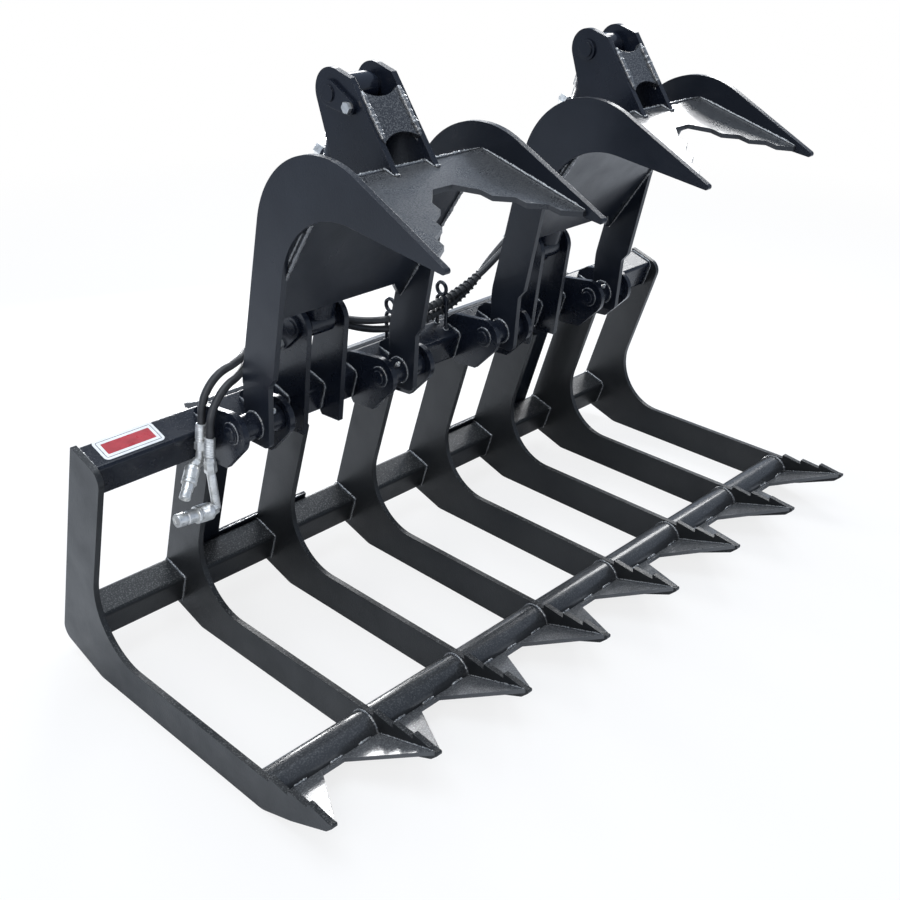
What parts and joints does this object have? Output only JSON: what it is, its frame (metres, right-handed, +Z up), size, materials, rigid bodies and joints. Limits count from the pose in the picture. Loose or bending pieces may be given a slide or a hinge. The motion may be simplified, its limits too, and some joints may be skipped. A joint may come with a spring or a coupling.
{
  "type": "root grapple",
  "caption": "Open-tine grapple with hydraulic lids that close over the tines to hold brush and logs on a loader.",
  "frame": {"origin": "centre of the underside, midway between the rear lip and the tines' noses, in the plane the tines rest on", "axes": "+X to the right along the cross tubes, +Y back towards the loader, +Z up; the lids are open at rest"},
  "size_m": [1.8288, 0.9698, 1.261],
  "materials": {
    "black_paint": "gloss",
    "zinc_steel": "satin",
    "chrome_rod": "mirror",
    "machined_steel": "satin",
    "hose_rubber": "matt"
  },
  "bodies": {
    "frame": {"upper_tube": "black_paint", "lower_tube": "black_paint", "tine_1": "black_paint", "tine_2": "black_paint", "tine_3": "black_paint", "tine_4": "black_paint", "tine_5": "black_paint", "tine_6": "black_paint", "tine_7": "black_paint", "tine_8": "black_paint", "front_pipe": "black_paint", "spear_panels": "black_paint", "side_plates": "black_paint", "top_lip": "black_paint", "bottom_lips": "black_paint", "lip_gussets": "black_paint", "hinge_lugs_left": "black_paint", "hinge_lugs_right": "black_paint", "base_cheeks_left": "black_paint", "base_cheeks_right": "black_paint", "hinge_pins": "black_paint", "base_pins": "black_paint", "keeper_bolts": "zinc_steel", "hose_guides": "black_paint", "coupler_a": "zinc_steel", "coupler_b": "zinc_steel", "hose_a": "hose_rubber", "hose_b": "hose_rubber", "hose_a_cross": "hose_rubber", "hose_b_cross": "hose_rubber"},
    "lid_left": {"lid_arm_1": "black_paint", "lid_arm_2": "black_paint", "top_plate_left": "black_paint", "back_plate_left": "black_paint", "sleeves_left": "black_paint", "bracket_plates_left": "black_paint", "bracket_filler_left": "black_paint", "pin_keepers_left": "black_paint", "keeper_bolt_left": "zinc_steel"},
    "barrel_left": {"barrel_left": "black_paint", "gland_left": "black_paint", "port_fittings_left": "zinc_steel"},
    "rod_left": {"rod_left": "chrome_rod", "piston_left": "machined_steel", "rod_pin_left": "machined_steel"},
    "lid_right": {"lid_arm_3": "black_paint", "lid_arm_4": "black_paint", "top_plate_right": "black_paint", "back_plate_right": "black_paint", "sleeves_right": "black_paint", "bracket_plates_right": "black_paint", "bracket_filler_right": "black_paint", "pin_keepers_right": "black_paint", "keeper_bolt_right": "zinc_steel"},
    "barrel_right": {"barrel_right": "black_paint", "gland_right": "black_paint", "port_fittings_right": "zinc_steel"},
    "rod_right": {"rod_right": "chrome_rod", "piston_right": "machined_steel", "rod_pin_right": "machined_steel"}
  },
  "joints": [
    {"name": "left_lid_hinge", "type": "hinge", "parent": "frame", "child": "lid_left", "pos_m": [-0.3734, 0.12009, 0.557], "axis": [1, 0, 0], "range_deg": [0, 76]},
    {"name": "left_cylinder_swing", "type": "hinge", "parent": "frame", "child": "barrel_left", "pos_m": [-0.3734, 0.16909, 0.716], "axis": [1, 0, 0], "range_deg": [0, 81.16]},
    {"name": "left_rod_extension", "type": "slide", "parent": "barrel_left", "child": "rod_left", "axis": [0, -0.2891, 0.9573], "range_m": [0, 0.19777]},
    {"name": "right_lid_hinge", "type": "hinge", "parent": "frame", "child": "lid_right", "pos_m": [0.3734, 0.12009, 0.557], "axis": [1, 0, 0], "range_deg": [0, 76]},
    {"name": "right_cylinder_swing", "type": "hinge", "parent": "frame", "child": "barrel_right", "pos_m": [0.3734, 0.16909, 0.716], "axis": [1, 0, 0], "range_deg": [0, 81.16]},
    {"name": "right_rod_extension", "type": "slide", "parent": "barrel_right", "child": "rod_right", "axis": [0, -0.2891, 0.9573], "range_m": [0, 0.19777]}
  ],
  "couplings": [
    {"joint": "left_cylinder_swing", "follows": "left_lid_hinge", "ratio": 1.0666},
    {"joint": "left_rod_extension", "follows": "left_lid_hinge", "m_per_rad": 0.14895},
    {"joint": "right_cylinder_swing", "follows": "right_lid_hinge", "ratio": 1.0666},
    {"joint": "right_rod_extension", "follows": "right_lid_hinge", "m_per_rad": 0.14895}
  ]
}
